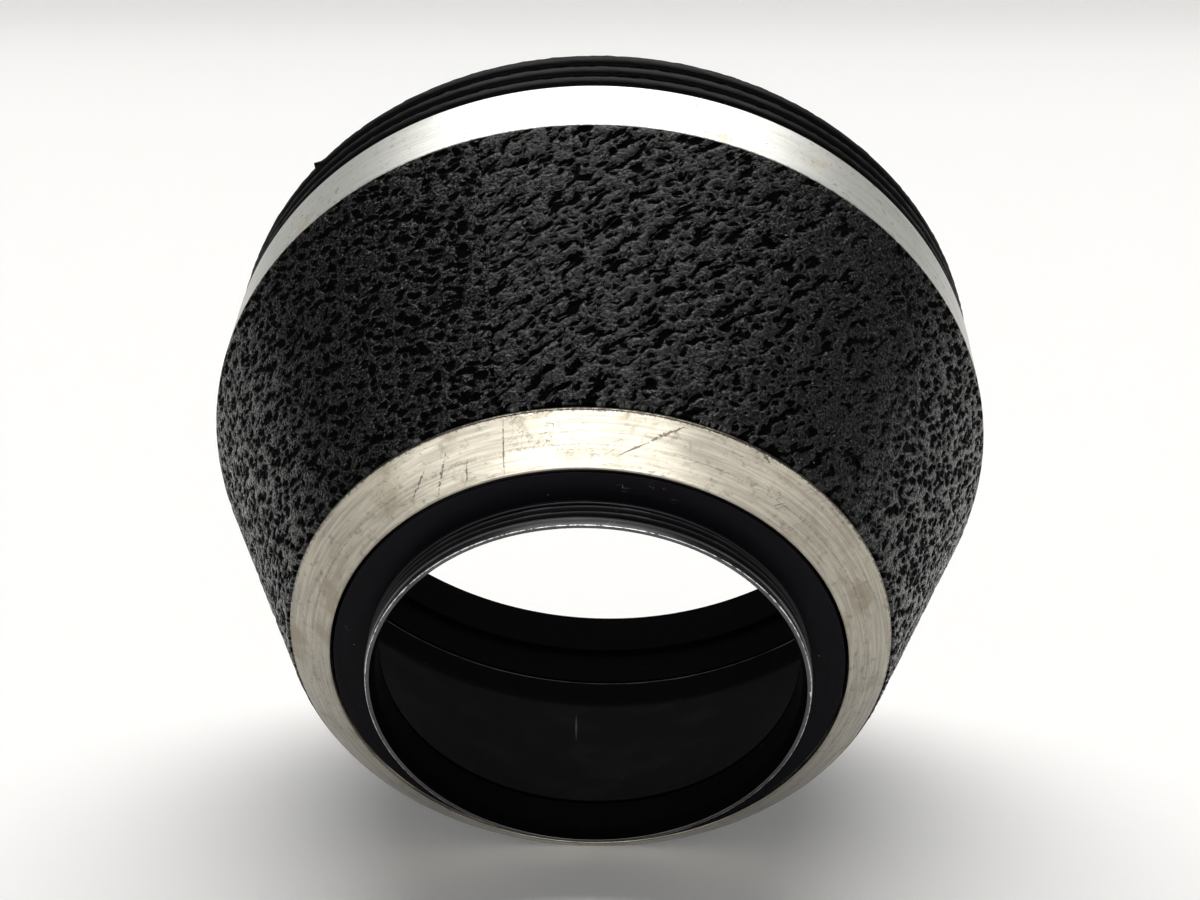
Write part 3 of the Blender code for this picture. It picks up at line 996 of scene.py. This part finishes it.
def build_rim(material, paint):
    """The ribbed rim: three ribs, the grooves behind them, threaded spigot and the lip round the opening."""
    groove = FRONT_RADIUS - GROOVE_DEPTH
    pitch = (FRONT - FRONT_LAND - RIM_START) / RIB_COUNT
    corners = [(OPENING_RADIUS, FRONT, BLUNT), (FRONT_RADIUS - FACE_EDGE, FRONT, BLUNT)]
    for rib in range(RIB_COUNT):
        crest = FRONT - FRONT_LAND - rib * pitch
        groove_front = crest - pitch + GROOVE_WIDTH
        corners += [
            (FRONT_RADIUS, crest, RIB_ROUNDING),
            (FRONT_RADIUS, groove_front, RIB_ROUNDING),
            (groove, groove_front, SOFT),
            (groove, crest - pitch, SOFT if rib < RIB_COUNT - 1 else SHARP),
        ]
    corners += [(NECK_RADIUS, RIM_START, SHARP)]
    corners += thread_rows(NECK_RADIUS, *reversed(SPIGOT_THREAD))
    corners += [
        (NECK_RADIUS, SPIGOT_END, BLUNT),
        (NECK_BORE_RADIUS, SPIGOT_END, BROKEN),
        (NECK_BORE_RADIUS, RIM_START + LIP_STEP - LIP_TAPER, ROUND),
        (OPENING_RADIUS, RIM_START + LIP_STEP, SOFT),
    ]
    piece = turned_ring("ribbed_rim_turned", corners)
    wear_ribs(piece)
    cut_thread(piece, NECK_RADIUS, *SPIGOT_THREAD)
    finish_ring(piece, "rim", "ribbed_rim", material, (NECK_BORE_RADIUS + 0.05, paint))


def flat_cut_places(places):
    """Each vertex's slant from the cone's apex, angle from the seam and place on the flat cut."""
    apex = LIP_END - leather_radius(LIP_END) / math.tan(CONE_ANGLE)
    slant = (places[:, 2] - apex) / math.cos(CONE_ANGLE)
    around = np.arctan2(places[:, 1], places[:, 0]) % (2 * math.pi)
    flat_angle = around * math.sin(CONE_ANGLE)
    return slant, around, np.stack([slant * np.cos(flat_angle), slant * np.sin(flat_angle), 0 * slant], 1)


def raise_grain(piece):
    """Raise the leather's outside by its grain, with the nodes that its finish uses."""
    tree = bpy.data.node_groups.new("leather_relief", "GeometryNodeTree")
    for direction in ("INPUT", "OUTPUT"):
        tree.interface.new_socket("Geometry", in_out=direction, socket_type="NodeSocketGeometry")
    flat = add(tree, "GeometryNodeInputNamedAttribute", {"Name": "flat_cut"}, data_type="FLOAT_VECTOR")
    rise = add(tree, "GeometryNodeInputNamedAttribute", {"Name": "rise"}, data_type="FLOAT")
    height = minus(tree, grain_nodes(tree, flat.outputs[0])[0], GRAIN_LEVEL)
    lift = times(tree, times(tree, height, rise.outputs[0]), GRAIN_HEIGHT * MM)
    offset = scaled(tree, add(tree, "GeometryNodeInputNormal").outputs[0], lift)
    given = add(tree, "NodeGroupInput").outputs[0]
    moved = add(tree, "GeometryNodeSetPosition", {"Geometry": given, "Offset": offset}).outputs[0]
    add(tree, "NodeGroupOutput", {0: moved})
    relief = piece.modifiers.new("Relief", "NODES")
    relief.node_group = tree
    bpy.ops.object.modifier_apply(modifier=relief.name)


def press_flat(piece):
    """Press the leather flat where the hood lies on it."""
    places, _, heights = measured(piece)
    places[:, 2] = np.maximum(heights, 0.0)
    set_places(piece, places)


def wrap_leather(seam_turn):
    """The plain strip of leather round the upright cone, open at its seam by that turn."""
    outside = [(leather_radius(height), height) for height in (LEATHER_REAR, LEATHER_FRONT)]
    inside = [(cone_radius(height) + FIT_GAP * 0.5, height) for height in (LEATHER_REAR, LEATHER_FRONT)]
    piece = start_vertex("leather_wrap", *outside[0])
    extrude_to(*outside)
    select_all()
    bpy.ops.mesh.subdivide(number_cuts=LEATHER_ROWS - 1)
    turn_profile(piece, LEATHER_COLUMNS, 2 * math.pi - seam_turn)
    go_to("EDIT")
    for outer, inner in zip(outside, inside):
        select_rings(piece, [outer])
        bpy.ops.mesh.extrude_region_move()
        widen(inner[0] / outer[0])
    select_rings(piece, inside)
    bpy.ops.mesh.select_mode(type="EDGE")
    bpy.ops.mesh.bridge_edge_loops()
    bpy.ops.mesh.select_mode(type="VERT")
    select_all()
    bpy.ops.mesh.fill_holes(sides=0)
    bpy.ops.mesh.normals_make_consistent(inside=False)
    go_to("OBJECT")
    return piece


def build_leather(material):
    """The leather cover: one strip round the cone, butted at its seam, with its grain in the mesh."""
    seam_turn = SEAM_WIDTH / leather_radius((LEATHER_REAR + LEATHER_FRONT) / 2)
    piece = wrap_leather(seam_turn)
    places, radii, heights = measured(piece)
    slant, around, flat = flat_cut_places(places)
    to_edge = np.minimum(heights - LEATHER_REAR, LEATHER_FRONT - heights) / math.cos(CONE_ANGLE)
    to_seam = np.minimum(around, 2 * math.pi - seam_turn - around) * radii
    rise = smooth_step(to_edge, *EDGE_FADE) * smooth_step(to_seam, *SEAM_FADE)
    rise = np.where(radii > leather_radius(heights) - 0.05, rise, 0).astype(np.float32)
    on_flat = piece.data.attributes.new("flat_cut", "FLOAT_VECTOR", "POINT")
    on_flat.data.foreach_set("vector", flat.astype(np.float32).ravel())
    piece.data.attributes.new("rise", "FLOAT", "POINT").data.foreach_set("value", rise)
    raise_grain(piece)
    lay_on_axis(piece, -math.pi / 2 - SEAM_ANGLE + seam_turn / 2)
    press_flat(piece)
    bpy.ops.object.shade_smooth_by_angle(angle=LEATHER_SMOOTH_ANGLE)
    give_material(piece, material)
    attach(piece, "hood")
    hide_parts("leather_cover")


# Stage, light and camera

def floor_material():
    """A pale matt floor that the camera and reflections see a little brighter than it is lit."""
    material = bpy.data.materials.new("pale_floor")
    material.use_nodes = True
    tree = material.node_tree
    shader = tree.nodes["Principled BSDF"]
    feed_all(tree, shader.inputs, {"Base Color": FLOOR_COLOUR, "Roughness": 0.8, "Specular IOR Level": 0.0})
    path = add(tree, "ShaderNodeLightPath").outputs
    seen = largest(tree, path["Is Camera Ray"], path["Is Glossy Ray"], path["Is Transmission Ray"])
    glow = add(tree, "ShaderNodeEmission", {"Strength": times(tree, seen, FLOOR_GLOW)})
    both = add(tree, "ShaderNodeAddShader", {0: shader.outputs[0], 1: glow.outputs[0]})
    feed(tree, tree.nodes["Material Output"].inputs["Surface"], both.outputs[0])
    return material


def build_floor(material):
    """A pale floor that sweeps up far behind the hood and takes its shadow."""
    floor = new_piece("pale_floor", bpy.ops.mesh.primitive_plane_add, size=FLOOR_SIZE)
    bpy.ops.transform.resize(value=(FLOOR_WIDENING, 1.0, 1.0))
    select_where(floor, lambda co: co.y > 0)
    extrude_by((0, 0, BACK_HEIGHT))
    select_where(floor, lambda co: co.y < 0)
    bpy.ops.transform.translate(value=(0, -FLOOR_FRONT_REACH, 0))
    select_where(floor, lambda co: co.y > 0 and co.z < BACK_HEIGHT / 2)
    bpy.ops.mesh.bevel(offset=BACK_SWEEP, segments=BACK_SEGMENTS, affect="EDGES")
    go_to("OBJECT")
    bpy.ops.object.shade_smooth()
    give_material(floor, material)


def build_far_wall(material):
    """A low pale wall all round the floor, so that the studio is pale on every side."""
    radius, height = WALL_CURVE[0]
    wall = new_piece("far_wall", bpy.ops.mesh.primitive_circle_add, vertices=WALL_STEPS, radius=radius)
    bpy.ops.transform.translate(value=(0, 0, height))
    for next_radius, next_height in WALL_CURVE[1:]:
        extrude_by((0, 0, next_height - height))
        widen(next_radius / radius)
        radius, height = next_radius, next_height
    go_to("OBJECT")
    bpy.ops.object.shade_smooth()
    give_material(wall, material)


def add_lamp(name, kind, energy, colour):
    """A new lamp in the scene."""
    data = bpy.data.lights.new(name, kind)
    data.energy = energy
    data.color = colour
    lamp = bpy.data.objects.new(name, data)
    bpy.context.scene.collection.objects.link(lamp)
    return lamp


def build_light():
    """A wide soft light overhead, pale cards behind the camera and a dim surround."""
    panel = add_lamp("overhead_panel", "SUN", PANEL_STRENGTH, PANEL_COLOUR)
    panel.data.angle = PANEL_SPREAD
    panel.rotation_euler = (-PANEL_LEAN, 0, 0)
    for middle, distance, width, radiance in CARDS:
        card = add_lamp("card", "AREA", radiance * math.pi * width * CARD_HEIGHT, CARD_COLOUR)
        card.data.shape = "RECTANGLE"
        card.data.size = width
        card.data.size_y = CARD_HEIGHT
        card.location = (middle, -distance, CARD_MIDDLE_HEIGHT)
        card.rotation_euler = (math.pi / 2, 0, 0)
        card.visible_diffuse = False
        card.visible_camera = False
    world = bpy.data.worlds.new("pale_surround")
    world.use_nodes = True
    bpy.context.scene.world = world
    background = world.node_tree.nodes["Background"].inputs
    feed_all(world.node_tree, background, {"Color": SURROUND_COLOUR, "Strength": SURROUND_STRENGTH})


def build_camera():
    """The photo's view, from the camera's turn and its place beside the tip."""
    data = bpy.data.cameras.new("view")
    data.lens = CAMERA_LENS
    data.sensor_width = CAMERA_SENSOR
    data.sensor_fit = "HORIZONTAL"
    data.clip_start = CAMERA_CLIP_START
    camera = bpy.data.objects.new("view", data)
    bpy.context.scene.collection.objects.link(camera)
    turn = Matrix.Rotation(-CAMERA_YAW, 4, "Z") @ Matrix.Rotation(math.pi / 2 - CAMERA_PITCH, 4, "X")
    camera.matrix_world = Matrix.Translation(TIP) @ turn @ Matrix.Translation(Vector(CAMERA_FROM_TIP) * MM)
    bpy.context.scene.camera = camera


def main():
    """Make the finishes, dress every piece and set the stage."""
    paint = funnel_paint()
    anodised = black_finish(
        "black_anodised", colour=(0.003, 0.0023, 0.004, 1), worn_colour=(0.75, 0.73, 0.75, 1),
        roughness=0.4, shine=0.07, marks_per_mm=5.0,
        edges=COLLAR_WORN_EDGES, nicks=COLLAR_NICKS, polished=lens_thread_polish,
    )
    rim_black = black_finish(
        "black_rim", colour=(0.0025, 0.0025, 0.0026, 1), worn_colour=(0.35, 0.35, 0.34, 1), roughness=0.5,
        shine=0.03, marks_per_mm=4.0, edges=RIM_WORN_EDGES, nicks=(), polished=rib_polish,
    )
    bevel_metal = bare_metal(
        "bare_bevel", colour=(0.35, 0.325, 0.272, 1), stain_colour=(0.25, 0.22, 0.165, 1), stain_amount=0.5,
        marks_per_mm=7.0, roughness=0.3, uneven=2.1, edges=BEVEL_DIRTY_EDGES, scratches=BEVEL_SCRATCHES,
    )
    band_metal = bare_metal(
        "bare_band", colour=(0.63, 0.63, 0.595, 1), stain_colour=(0.53, 0.47, 0.36, 1), stain_amount=0.35,
        marks_per_mm=9.0, roughness=0.42, uneven=1.0, edges=BAND_DIRTY_EDGES, scratches=(),
    )
    build_collar(anodised, paint)
    build_bevel(bevel_metal)
    build_cone(paint)
    build_leather(leather_finish())
    build_band(band_metal)
    build_rim(rim_black, paint)
    pale = floor_material()
    build_floor(pale)
    build_far_wall(pale)
    build_light()
    build_camera()
    bpy.context.scene.view_settings.view_transform = "Standard"


main()
